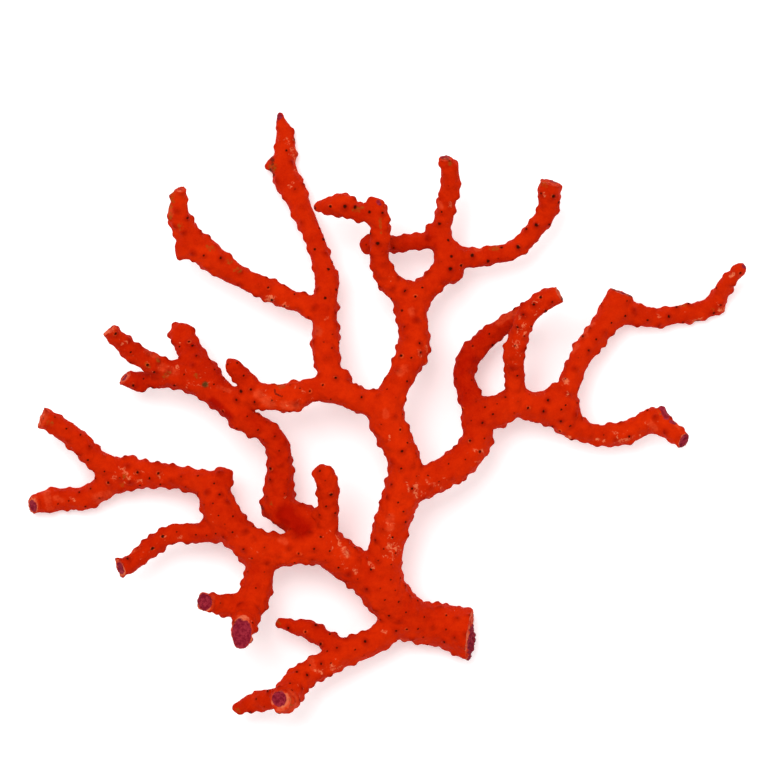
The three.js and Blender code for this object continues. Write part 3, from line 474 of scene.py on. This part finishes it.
def placePolyps(points, normals, broken):
    # The bold polyps come first, the others are scattered round them, none too close to another
    look = polypLook
    upperLeast, topFavour, steepLeast = 0.15, 0.05, 0.3
    rng = random.Random(look["seed"])
    low, high = look["spacing"]
    taken = {}
    polyps = []

    def tryAt(i, spacing, wide, boldest, least=0.0):
        spot = points[i]
        cell = tuple(int(c // high) for c in spot)
        for near in product(*[(c - 1, c, c + 1) for c in cell]):
            if any(((other - spot) ** 2).sum() < spacing ** 2 for other in taken.get(near, ())):
                return
        taken.setdefault(cell, []).append(spot)
        polyps.append((spot, wide, rng.uniform(least, boldest), rng.random()))

    skin = broken < breakLook["skin"]
    upper = np.nonzero((normals[:, 2] > upperLeast) & skin)[0]
    wider = [[x, y, crownWidth] for x, y in crownPits]
    for x, y, *wide in boldPits + wider:
        gap = np.hypot(points[upper, 0] - x, points[upper, 1] - y) - topFavour * points[upper, 2]
        tryAt(upper[int(gap.argmin())], look["boldSpacing"], sum(wide), 1, look["boldLeast"])
    order = np.nonzero(skin & (points[:, 2] > look["bareHeight"]))[0].tolist()
    rng.shuffle(order)
    for i in order[:look["tries"]]:
        tryAt(i, rng.uniform(low, high), 0.0, look["boldShare"] if normals[i][2] > steepLeast else 1)
    return polyps


def brokenFaces(points, normals):
    # 1 in the middle of a broken end, 0.5 at the edge of its axis, 0 on the skin; and how far it bulges
    look = breakLook
    mask = np.zeros(len(points))
    bulge = np.zeros(len(points))
    for name, arm in arms.items():
        if "face" not in arm:
            continue
        middle, radius, heading = alongArm(lines[name], lines[name][1][-1:])
        facing = np.array(Vector(arm["face"]).normalized())
        away = points - middle[0]
        onFace = (np.abs(away @ facing) < look["depth"]) & (normals @ facing > look["facing"])
        away = away - np.array(arm.get("shift", (0, 0, 0)))
        side = away - (away @ heading[0])[:, None] * heading[0]
        share = np.linalg.norm(side, axis=1) / radius[0]
        here = onFace & (share < look["edge"])
        axis = arm.get("axis", 0)
        inside = 1 - 0.5 * share / max(axis, 0.01)
        outside = np.clip(0.5 - 2 * (share - axis), arm.get("rim", look["rim"]), look["crust"])
        mask[here] = np.where(share < axis, inside, outside)[here]
        rise = np.clip(1 - (share[here] / look["bulgeEdge"]) ** 2, 0, 1)
        bulge[here] = arm.get("bulge", look["bulge"]) * rise
    return mask, bulge


def roughen(points, normals, mask, bulge):
    # Warts, pits, slow lumps and fine grain, all along the skin's own direction
    look = polypLook
    polyps = placePolyps(points, normals, mask)
    tree = kdtree.KDTree(len(polyps))
    for i, (spot, _, _, _) in enumerate(polyps):
        tree.insert(spot, i)
    tree.balance()
    distance, wide, chance, size, lumps, grain = np.empty((6, len(points)))
    for i, point in enumerate(points.tolist()):
        spot, which, gap = tree.find(point)
        distance[i] = gap
        _, wide[i], chance[i], size[i] = polyps[which]
        here = Vector(point)
        lumps[i] = noise.noise(here / look["lumpSize"])
        grain[i] = noise.noise(here / look["grainSize"])
    skin = mask < breakLook["skin"]
    least, more = look["wartShares"]
    even, uneven = look["bulgeShares"]
    wart = look["wartHeight"] * (least + more * size) * np.exp(-(distance / look["wartWidth"]) ** 2)
    pitWidth = look["pitWidth"] * (1 + wide)
    pit = look["pitDepth"] * (look["pitLeast"] + chance) * np.exp(-(distance / pitWidth) ** 2)
    lift = np.where(skin, wart - pit, 0) + look["lumpHeight"] * lumps + look["grainHeight"] * grain
    rough = np.where(skin, 0, look["breakGrain"] * grain)
    lift += bulge * (even + uneven * grain) + rough - look["skinDrop"]
    points = points + lift[:, None] * normals
    points[:, 2] = np.maximum(points[:, 2], 0)
    print("polyps:", len(polyps))
    return points, {"polypDistance": distance, "polypChance": chance, "polypWide": wide, "polypSize": size}


def armTintAndShade(points, members):
    # The colour of each arm, partly its own and partly painted shade on the arms behind, fades into that of
    # the next one where they meet
    total = np.full(len(points), 1e-9)
    tint = np.zeros(len(points))
    for member in members:
        if member["tint"] is None:
            continue
        weight = np.exp(-np.clip(distanceTo(member, points), -2, 8) / skinLook["tintFade"])
        total += weight
        tint += weight * member["tint"]
    return tint / total


# Marks on the upper side, as strokes: x and y of one end, x and y of the other, and the width,
# which is the usual one where it is left out
usualWidth = 0.5
marks = {
    # Worn places where a lighter crust shows
    "bleach": [
        (22.3, 18.3, 25.2, 19.8, 0.9), (-25.6, 3.7, -22.8, 1.6, 1.1), (-58, -17.2, -55.8, -16.9, 1.2),
        (-70.8, -17.3, -70.4, -18.7, 0.8), (-68.2, -16, -67.4, -19.8, 0.8), (-68.1, 0.4, -69.2, -2.7, 0.8),
        (-66.4, -17.1, -65.2, -17.7, 0.6), (-50.8, -27.6, -49.6, -27, 0.6), (-34.6, -36.8, -34.8, -38.9),
        (-29.5, -40.7, -27.2, -42.2), (-27.2, -42.6, -27, -44.6, 0.4), (-21.2, -59.2, -18.2, -58.3, 1.1),
        (-19.3, -55.6, -17.8, -57.7, 0.7), (-15.2, -49.1, -14.6, -51.1, 0.7), (2.8, -45.6, 6.9, -46.8, 0.4),
        (0.8, -21, 0.8, -23.1, 0.9), (-0.2, 0.1, -0.1, -0.6, 0.8), (5, 20.5, 5.2, 19.5, 0.7),
        (3.8, 8.9, 2.7, 7.9, 0.9), (38.7, 15.1, 40, 15.5, 0.6), (41.5, 17.8, 39.4, 15.9, 0.4),
        (37.2, 12.3, 38.1, 13.4, 0.6), (53, -2.5, 53.5, -3.1, 0.9), (58, -2.5, 58.7, -2.9, 0.6),
        (-56.1, 15.8, -54.2, 16.9, 0.6), (-47.5, 12.1, -45.9, 11.3, 0.6), (-33.6, 5.2, -31.4, 4.3),
        (-13.7, 16.4, -13.5, 16.1, 0.9), (10.9, 41, 10.5, 42), (17.9, 32.6, 18.9, 32.8),
        (-20.9, -25.4, -20.3, -25.8, 0.8), (-43.2, 40.5, -43, 39.6, 0.7), (-45, 9, -42, 8, 0.9),
        (-20.5, 1.6, -18, 1.4, 0.9), (-8.6, -27.4, -7.9, -28.4, 0.8)],
    # Stretches that are scratched all over
    "worn": [
        (-24, 3, -15.5, 3, 2.2), (0.6, -21.5, 1.2, -28, 1.8), (5.4, -13.6, 7.5, -16.5, 2.2),
        (9, -14.4, 12, -14.2, 1.4), (-11, -25, -6, -31, 2), (25.4, 9, 26.4, 15.5, 1.6),
        (-54, -12.4, -46, -12.6, 1.8), (-46, 8.6, -36, 6.4, 2), (-50.5, -28.6, -45, -25.2, 1.4),
        (-18.4, 49, -19.4, 54, 1.3), (66, 20.6, 68.4, 25, 1.2), (42, -4.6, 50, -4.6, 1.4),
        (27, 18, 30.4, 22, 1.4), (-13, -51, -9.5, -50, 1.6), (-52.6, 13.4, -48, 11, 1.4)],
    # Pale flecks and scratches
    "pale": [
        (-20.1, 54.8, -19.8, 53.9), (-19.1, 52.9, -18.5, 52.3), (-18.8, 46, -19.4, 45.3),
        (-22.8, 23, -23.6, 22.6, 0.8), (-20.4, 21.6, -19.8, 21.4), (12.8, 41.9, 12.7, 41.2, 0.4),
        (31.4, 43.7, 31.6, 43.3, 0.4), (27.2, 17.3, 27.5, 17, 0.4), (26.5, 19.2, 26.6, 18.8, 0.4),
        (26.1, 13.9, 26, 13.2, 0.6), (35.8, 6.4, 35.9, 6, 0.8), (36.2, 4.1, 36.3, 3.3, 0.3),
        (54.4, 19.7, 54.7, 19.3), (61.3, 18.1, 63.4, 18.8, 0.4), (67, 20.7, 67.9, 20.7, 0.7),
        (69, 27.4, 69.3, 27.7), (48.4, -5.4, 46.8, -5.8), (42.2, -5.3, 43.6, -5.7, 0.4),
        (35.8, -5, 36.8, -5), (-52.7, -11.6, -52, -12.2), (-63.2, -17.1, -62.6, -17.5),
        (-41.6, -24.9, -41, -24.9, 0.4), (-6.4, -31.4, -6, -31.7, 0.6), (-3.4, -30, -2.7, -30.8),
        (-11.1, -50.4, -10.7, -51.2), (-14.1, -51.5, -13, -52), (-0.8, -43.8, -0.1, -43.9, 0.4),
        (0.5, -4.6, 0.5, -5.7, 0.35), (4.2, -14.2, 4.4, -15.6, 0.3), (6, -14.6, 5.8, -16.6, 0.7),
        (8, -13.6, 8.6, -14.2, 0.4), (9.6, -14.4, 10.6, -14.8), (0.5, -26.3, 0.7, -27.5, 0.6),
        (1.2, -28, 1.2, -28.8, 0.3), (-8.4, -27.2, -7.9, -28.3, 0.7), (-9.3, -25.7, -9.5, -26.5, 0.4),
        (17.6, -9.8, 18.8, -9.8, 0.2), (17.3, -7.4, 18, -7.5, 0.35), (19, -7.4, 19.3, -8.3, 0.3),
        (7.9, 12.2, 7.8, 13.2, 0.4), (6.6, 12.3, 6.7, 11.4), (-11.8, 18.9, -12.2, 18.6, 0.4)],
    # Ochre growth in hollows and at the tips
    "ochre": [
        (-22.9, 49.7, -22.9, 48.8, 0.9), (-6.4, 40.3, -4.8, 40.6, 0.6), (-1.3, 38.7, -1.1, 35.9, 0.4),
        (-35.4, 33, -35.1, 32.7, 0.8), (-31.7, 30.2, -31.2, 30, 0.6), (-30, 28.4, -29.5, 28.3, 0.7),
        (-42.5, 43.8, -42.6, 42.2, 0.6), (-43, 41.5, -43.1, 38.8), (-41.1, 37.4, -40.9, 36.8, 0.6),
        (12.6, 49.7, 12.7, 49.4), (21.2, 32.8, 21.9, 32.6, 0.7), (31.1, 45.6, 31.7, 45.4, 0.6),
        (34.1, 24.4, 34.9, 23.1), (65.2, 20.7, 65.5, 20.6, 0.4), (54.3, 0.8, 54.9, -0.3, 0.35),
        (58.6, 21.6, 59.9, 21.5, 0.4), (-47.8, 9.6, -47.4, 9.2), (-45.6, 10.5, -45.4, 10.3),
        (-44.3, 7.1, -43.4, 7.9, 0.6), (-38.1, 7.4, -37.7, 7.1), (-36.4, 5.5, -36, 5.5, 0.6),
        (-21.8, 5.5, -20.7, 5.4, 0.6), (-52.3, -12.7, -52.1, -13.1, 0.6), (-53.1, -14.3, -52.9, -14.6),
        (-23.1, -18.1, -22.9, -18.3), (-68.1, -1.9, -66.9, -2.1, 0.6), (-19.3, -56.8, -18.8, -57.9),
        (-29.6, -59.9, -29.8, -59.5), (-21.9, -41.9, -21.5, -42.4, 0.4)],
    # Stains and cracks
    "dark": [
        (-23.1, 51.2, -23, 50.2, 0.7), (-23.3, 48.5, -22.8, 47.7), (34.9, 22.9, 35.1, 22.5, 0.3),
        (11, 51, 12, 50.7), (62, 18.2, 62.8, 18.5, 0.25), (33.2, 46.3, 33.7, 46, 0.4),
        (45.3, 24.7, 49.3, 23.2, 0.25), (-22.3, 4.6, -22.1, 3.8, 0.26), (-22.1, 3.8, -21, 3.3, 0.22),
        (-25.1, -18.9, -24.7, -19.2, 0.4), (-47, -27.4, -46.4, -27, 0.3)],
    # Bare axis beside the broken ends
    "crimson": [
        (-1.7, 42, -1.3, 41.5, 0.45), (-22.3, 58.7, -21.4, 59.6, 0.7), (11, 51.2, 12.4, 51.2),
        (33, 46.4, 33.5, 46.2, 0.4), (55.2, 0.7, 56, -0.7, 0.75), (56.9, -1.8, 57.7, -2.2, 0.35),
        (71.4, 29.3, 71.8, 29.1, 0.4)],
    # Painted shade: a deeper red where one branch passes under the next and lies in its shadow
    "deepRedAndShade": [
        (-20, -20.4, -17, -23.4, 1.7), (-34.6, 2.2, -31.4, -0.8, 0.8)],
}


def paintMarks(points, normals):
    # How strong each kind of mark is at each point: a stroke fades out at so many widths from its line
    fadeEnd, upperLeast = 1.6, -0.1
    painted = {}
    upper = normals[:, 2] > upperLeast
    for kind, strokes in marks.items():
        strength = np.zeros(len(points))
        for x, y, toX, toY, *width in strokes:
            line = np.array([toX - x, toY - y])
            away = points[:, :2] - (x, y)
            share = np.clip(away @ line / max(line @ line, 1e-9), 0, 1)
            gap = np.linalg.norm(away - share[:, None] * line, axis=1)
            strength = np.maximum(strength, np.clip(fadeEnd - gap / (width or [usualWidth])[0], 0, 1))
        painted[kind] = strength * upper
    return painted


def forkCuts():
    # Where each arm passes from one node to the next
    cuts = []
    for name, arm in arms.items():
        for start in list(arm["pieces"].values())[1:]:
            middle, radius, heading = alongArm(lines[name], np.array([float(start)]))
            cuts.append((middle[0], heading[0], radius[0]))
    return cuts


def closedSeam(seam):
    # The edges of a cut without the chains that end in the open, which would leave a slit
    while True:
        uses = Counter(v for e in seam for v in e.verts)
        kept = [e for e in seam if all(uses[v] > 1 for v in e.verts)]
        if len(kept) == len(seam):
            return seam
        seam = kept


def splitAtForks(mesh):
    # The skin is cut across at each fork, and each side of a cut is closed
    look = skinLook
    bm = bmesh.new()
    bm.from_mesh(mesh)
    bm.faces.ensure_lookup_table()
    centres = readRows(mesh.polygons, "center")
    jobs = []
    for middle, heading, radius in forkCuts():
        away = centres - middle
        slab = np.abs(away @ heading) < look["cutSlab"]
        slab &= np.linalg.norm(away, axis=1) < look["cutReach"] * radius + look["cutSlab"]
        jobs.append((middle, heading, [bm.faces[i] for i in np.nonzero(slab)[0]]))
    seams = []
    for middle, heading, faces in jobs:
        around = list({v for f in faces for v in f.verts}) + list({e for f in faces for e in f.edges}) + faces
        cut = bmesh.ops.bisect_plane(
            bm, geom=around, dist=look["cutSnap"], plane_co=middle, plane_no=heading)
        seams += closedSeam([g for g in cut["geom_cut"] if isinstance(g, bmesh.types.BMEdge)])
    bmesh.ops.split_edges(bm, edges=seams)
    rims = [e for e in bm.edges if e.is_boundary]
    caps = bmesh.ops.holes_fill(bm, edges=rims, sides=0)["faces"]
    for cap in caps:
        cap.smooth = False
        for e in cap.edges:
            e.smooth = False
    bmesh.ops.recalc_face_normals(bm, faces=bm.faces)
    bm.to_mesh(mesh)
    bm.free()
    print("fork cuts:", len(jobs), "caps:", len(caps))


def separatePieces(mesh):
    # Every closed part of the skin becomes an object of its own
    whole = newObject("coralSkin", mesh)
    bpy.ops.object.select_all(action="DESELECT")
    whole.select_set(True)
    bpy.context.view_layer.objects.active = whole
    bpy.ops.object.mode_set(mode="EDIT")
    bpy.ops.mesh.select_all(action="SELECT")
    bpy.ops.mesh.separate(type="LOOSE")
    bpy.ops.object.mode_set(mode="OBJECT")
    found = list(bpy.context.selected_objects)
    crumbs = [o for o in found if len(o.data.vertices) < skinLook["crumb"]]
    found = [o for o in found if o not in crumbs]
    print("crumbs taken away:", len(crumbs))
    for crumb in crumbs:
        bpy.data.objects.remove(crumb)
    return found


def nodeSpots():
    # Middle and radius of every arm at each millimetre, with the node that the stretch belongs to
    firstSpot, spotStep = 0.5, 1.0
    spots, radii, nodes = [], [], []
    for name, arm in arms.items():
        lengths = np.arange(firstSpot, lines[name][1][-1], spotStep)
        middle, radius, _ = alongArm(lines[name], lengths)
        spots.append(middle)
        radii.append(radius)
        for length in lengths:
            nodes.append([node for node, start in arm["pieces"].items() if start <= length][-1])
    return np.vstack(spots), np.concatenate(radii), nodes


def nameOfPiece(points, spots, radii, nodes):
    # The node that runs under most of these points
    votes = Counter()
    for point in points[::max(1, len(points) // skinLook["voters"])]:
        gap = np.linalg.norm(spots - point, axis=1) - radii
        votes[nodes[int(gap.argmin())]] += 1
    return votes.most_common(1)[0][0]


def makeCoral():
    skin = growTogether()
    print("fused skin:", len(skin.vertices), "points")
    points = readRows(skin.vertices, "co")
    members = bonesNear(points)
    points, normals = drawSkin(points, members)
    print("skin drawn")
    mask, bulge = brokenFaces(points, normals)
    # The arms' colour, with painted shade on the arms that lie lower and behind
    tint = armTintAndShade(points, members)
    points, layers = roughen(points, normals, mask, bulge)
    layers["brokenEnd"] = mask
    layers["armTintAndShade"] = tint
    layers.update(paintMarks(points, normals))
    skin.vertices.foreach_set("co", points.ravel())
    for name, values in layers.items():
        layer = skin.attributes.new(name, "FLOAT", "POINT")
        layer.data.foreach_set("value", values.astype(np.float32))
    skin.update()
    splitAtForks(skin)
    return separatePieces(skin)


def linear(r, g, b):
    # Screen colour from 0 to 255 to the light's own values
    shares = [c / 255 for c in (r, g, b)]
    return [c / 12.92 if c <= 0.04045 else ((c + 0.055) / 1.055) ** 2.4 for c in shares] + [1]


class Tree:
    # A short way to write a node tree: inputs go by name or number, and one given a socket is linked to it

    def __init__(self, tree):
        self.tree = tree

    def add(self, kind, settings=None, values=None, out=0):
        made = self.tree.nodes.new(kind)
        for key, value in (settings or {}).items():
            setattr(made, key, value)
        for key, value in (values or {}).items():
            socket = made.inputs[key]
            if isinstance(value, bpy.types.NodeSocket):
                self.tree.links.new(value, socket)
            else:
                socket.default_value = value
        return made.outputs[out] if made.outputs else None

    def math(self, operation, a, b=0.0, c=0.0, clamp=False):
        return self.add("ShaderNodeMath", {"operation": operation, "use_clamp": clamp}, {0: a, 1: b, 2: c})

    def ramp(self, value, low, high, toLow=0.0, toHigh=1.0):
        settings = {"interpolation_type": "SMOOTHSTEP", "clamp": True}
        values = {"Value": value, "From Min": low, "From Max": high, "To Min": toLow, "To Max": toHigh}
        return self.add("ShaderNodeMapRange", settings, values)

    def plus(self, first, *others):
        for other in others:
            first = self.math("ADD", first, other)
        return first

    def times(self, a, b):
        return self.math("MULTIPLY", a, b)

    def mix(self, share, a, b):
        settings = {"data_type": "RGBA", "clamp_factor": True}
        return self.add("ShaderNodeMix", settings, {0: share, 6: a, 7: b}, 2)

    def attribute(self, name):
        return self.add("ShaderNodeAttribute", {"attribute_name": name}, None, 2)


crustLook = {
    # The deep red is partly the crust's own colour and partly painted shade on the arms behind and under
    # crossing branches
    "deepRedAndShade": linear(162, 14, 0),
    "bright": linear(206, 42, 3),
    "halo": linear(140, 8, 0),
    "pit": linear(54, 11, 5),
    "hole": linear(74, 48, 20),
    "ring": linear(224, 88, 40),
    "fleck": linear(232, 132, 88),
    "bleach": linear(222, 80, 42),
    "ochre": linear(140, 76, 20),
    "stain": linear(84, 22, 14),
    "axis": linear(156, 42, 56),
    "axisDark": linear(114, 15, 34),
    "rim": linear(214, 104, 70),
    "specularTint": linear(255, 150, 100),
    "specular": 0.05,
    "roughness": 0.75,
    "roughPit": 0.3,             # what a fleck or a pit adds to the roughness
    "bumpStrength": 0.7,
    "bumpHeight": 0.00022,
    "pitEdge": {"least": 0.09, "chance": 0.16, "size": 0.12, "wide": 0.22},
    # How fine each noise is, in cells to a metre, then its detail, roughness and distortion
    "noises": {
        "clouds": (170, 3, 0.55), "patches": (620, 3, 0.6), "grain": (2600, 4, 0.65),
        "ringGaps": (1200, 2, 0.6), "tornEdge": (2300, 3, 0.7, 0.8), "wear": (120, 2, 0.5),
        "streaks": (1050, 3, 0.65, 0.7), "pale": (1400, 4, 0.7, 0.9), "speckle": (1300, 4, 0.75),
        "axisEdge": (420, 3, 0.6)},
    # How far the noises swing a value up and down
    "swings": {
        "warmthAndShade": {"clouds": 0.9, "patches": 0.7, "grain": 0.5}, "pit": {"tornEdge": 0.5},
        "bleach": {"patches": 0.9, "grain": 0.5}, "axis": {"axisEdge": 0.5},
        "roughness": {"grain": 0.2}, "bump": {"grain": 0.7, "patches": 0.6}},
    # How strongly the marks of each kind pull
    "marks": {
        "bleach": 0.55, "deepRedAndShade": 0.6, "worn": 0.13, "pale": 0.28, "ochre": 0.3, "dark": 0.5, "crimson": 0.5},
    # Each effect begins at the first value and is full at the second; then what it is before and after
    "ramps": {
        "bleach": (0.2, 0.85, 0, 0.52),
        "halo": (1.1, 0), "haloBySize": (0.35, 0.95, 0.12, 0.72),
        "ringOutside": (0.62, 0.42), "ringInside": (0.2, 0.34), "ringGaps": (0.42, 0.62),
        "ringByChance": (0.9, 0.98, 0, 0.45), "ringByWidth": (0.66, 0.9, 0, 0.6),
        "pit": (0, 0.6), "pitByChance": (0.4, 0.78, 0.15, 1), "hole": (1.5, 2.2),
        "wear": (0.45, 0.7, 0, 0.1), "fleck": (0.75, 0.83, 0, 0.5), "paleFleck": (0.7, 0.92, 0, 0.65),
        "ochre": (0.68, 0.95, 0, 0.75), "dark": (0.78, 1.05, 0, 0.85), "crimson": (0.8, 0.95),
        "axisTone": (0.38, 0.66), "axis": (0.47, 0.53),
        "rim": (0.12, 0.3), "rimPatches": (0.42, 0.6, 0.1, 0.85)},
}


def coralMaterial():
    look = crustLook
    material = bpy.data.materials.new("coralCrust")
    material.use_nodes = True
    material.node_tree.nodes.clear()
    t = Tree(material.node_tree)
    place = t.add("ShaderNodeTexCoord", None, None, "Object")
    names = ("polypDistance", "polypChance", "polypWide", "polypSize")
    distance, chance, wide, size = [t.attribute(name) for name in names]
    inputs = ("Scale", "Detail", "Roughness", "Distortion")
    noises = {name: t.add("ShaderNodeTexNoise", None, {"Vector": place, **dict(zip(inputs, values))})
              for name, values in look["noises"].items()}
    marked = {kind: t.times(t.attribute(kind), pull) for kind, pull in look["marks"].items()}
    speckle = noises["speckle"]

    def ramp(name, *values):
        return t.ramp(t.plus(*values), *look["ramps"][name])

    def swings(name):
        return [t.math("MULTIPLY_ADD", noises[which], far, -far / 2)
                for which, far in look["swings"][name].items()]

    # The crust goes slowly from deep red to orange, with small clouds in it; the deep red of the arms behind
    # is partly their own colour and partly painted shade
    warmthAndShade = t.plus(t.attribute("armTintAndShade"), *swings("warmthAndShade"))
    # Painted shade: a deeper red where one branch passes under the next
    warmthAndShade = t.math("SUBTRACT", warmthAndShade, marked["deepRedAndShade"], clamp=True)
    colour = t.mix(warmthAndShade, look["deepRedAndShade"], look["bright"])

    # Worn places where a lighter crust shows
    colour = t.mix(ramp("bleach", marked["bleach"], *swings("bleach")), colour, look["bleach"])

    # A darker halo round each polyp, a pale ring on some, and the pit itself
    halo = t.times(ramp("halo", distance), ramp("haloBySize", size))
    colour = t.mix(halo, colour, look["halo"])
    ring = t.times(ramp("ringOutside", distance), ramp("ringInside", distance))
    ringShare = t.math("MAXIMUM", ramp("ringByChance", chance), ramp("ringByWidth", wide))
    ringShare = t.times(ringShare, ramp("ringGaps", noises["ringGaps"]))
    colour = t.mix(t.times(ring, ringShare), colour, look["ring"])
    edge = look["pitEdge"]
    edge = t.plus(t.math("MULTIPLY_ADD", chance, edge["chance"], edge["least"]),
                  t.times(size, edge["size"]), t.times(wide, edge["wide"]))
    pit = t.math("DIVIDE", t.plus(distance, *swings("pit")), edge)
    pit = t.math("SUBTRACT", 1.0, pit, clamp=True)
    pit = t.times(ramp("pit", pit), ramp("pitByChance", chance))

    # Pale flecks and scratches where the crust is worn, thick in some places and absent in others
    fleck = ramp("fleck", noises["streaks"], ramp("wear", noises["wear"]), marked["worn"])
    fleck = t.math("MAXIMUM", fleck, ramp("paleFleck", marked["pale"], noises["pale"]))
    colour = t.mix(fleck, colour, look["fleck"])

    # Ochre growths, dark stains and bare axis, and then the pits over them
    axisColour = t.mix(ramp("axisTone", speckle), look["axisDark"], look["axis"])
    for kind, paint in (("ochre", look["ochre"]), ("dark", look["stain"]), ("crimson", axisColour)):
        colour = t.mix(ramp(kind, marked[kind], speckle), colour, paint)
    colour = t.mix(pit, colour, t.mix(ramp("hole", wide), look["pit"], look["hole"]))

    # Broken ends: the crimson axis inside, and the pale edge of the crust round it
    end = t.attribute("brokenEnd")
    rim = t.times(ramp("rim", end), ramp("rimPatches", noises["patches"]))
    colour = t.mix(rim, colour, look["rim"])
    core = ramp("axis", end, *swings("axis"))
    colour = t.mix(core, colour, axisColour)

    roughness = t.plus(look["roughness"], *swings("roughness"))
    rougher = t.times(t.math("MAXIMUM", fleck, pit), look["roughPit"])
    roughness = t.math("ADD", roughness, rougher, clamp=True)
    height = t.math("SUBTRACT", t.plus(*swings("bump")), pit)
    height = t.plus(height, t.times(core, speckle))
    bump = t.add("ShaderNodeBump", None, {
        "Height": height, "Strength": look["bumpStrength"], "Distance": look["bumpHeight"]})
    shader = t.add("ShaderNodeBsdfPrincipled", None, {
        "Base Color": colour, "Roughness": roughness, "Normal": bump,
        "Specular IOR Level": look["specular"], "Specular Tint": look["specularTint"]})
    t.add("ShaderNodeOutputMaterial", None, {"Surface": shader})
    return material


def floorMaterial():
    # White paper with a little light of its own, like a light table turned low
    material = bpy.data.materials.new("palePaper")
    material.use_nodes = True
    for name, value in stageLook["paper"].items():
        material.node_tree.nodes["Principled BSDF"].inputs[name].default_value = value
    return material


crust = coralMaterial()
pieces = makeCoral()
labelled = nodeSpots()
for piece in pieces:
    node = nameOfPiece(readRows(piece.data.vertices, "co"), *labelled)
    piece.name = piece.data.name = node + "Skin"
    piece.data.transform(Matrix.Scale(millimetre, 4))
    piece.data.materials.clear()
    piece.data.materials.append(crust)
    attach(piece, "root")
    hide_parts(node)
print("pieces:", sorted((p.name, len(p.data.polygons)) for p in pieces))

paperWhite = linear(250, 250, 250)

stageLook = {
    "floorSize": 3.0,
    "paper": {
        "Base Color": paperWhite, "Roughness": 0.9, "Emission Color": paperWhite, "Emission Strength": 0.25},
    "lensMillimetres": 400,
    "sensorMillimetres": 36,
    "farthest": 20,              # that the camera sees
    "frameWidth": 0.1536,        # across the picture, at the fan's middle height
    "middle": (-0.0005, 0.0057, 0.010),
    "sky": 0.7,
    "lamps": [
        # place, size, watts
        ((-0.2, 0.3, 0.92), 0.5, 5.4),
        ((0.5, -0.1, 0.8), 0.8, 1.2),
    ],
}


def makeStage():
    look = stageLook
    bm = bmesh.new()
    bmesh.ops.create_grid(bm, x_segments=1, y_segments=1, size=look["floorSize"] / 2)
    floor = newObject("floor", finishMesh(bm, "floor"))
    floor.data.materials.append(floorMaterial())

    for place, size, watts in look["lamps"]:
        lamp = bpy.data.lights.new("softLamp", "AREA")
        lamp.size = size
        lamp.energy = watts
        holder = newObject("softLamp", lamp)
        holder.location = place
        holder.rotation_euler = (Vector(look["middle"]) - Vector(place)).to_track_quat("-Z", "Y").to_euler()

    world = bpy.data.worlds.new("paleRoom")
    world.use_nodes = True
    sky = world.node_tree.nodes["Background"].inputs
    sky["Color"].default_value = (1, 1, 1, 1)
    sky["Strength"].default_value = look["sky"]
    bpy.context.scene.world = world

    lens = bpy.data.cameras.new("camera")
    lens.lens = look["lensMillimetres"]
    lens.sensor_width = look["sensorMillimetres"]
    lens.clip_end = look["farthest"]
    camera = newObject("camera", lens)
    away = look["frameWidth"] * look["lensMillimetres"] / lens.sensor_width
    camera.location = Vector(look["middle"]) + Vector((0, 0, away))
    bpy.context.scene.camera = camera
    bpy.context.scene.view_settings.view_transform = "Standard"


makeStage()
print("stage made")

bpy.context.view_layer.update()
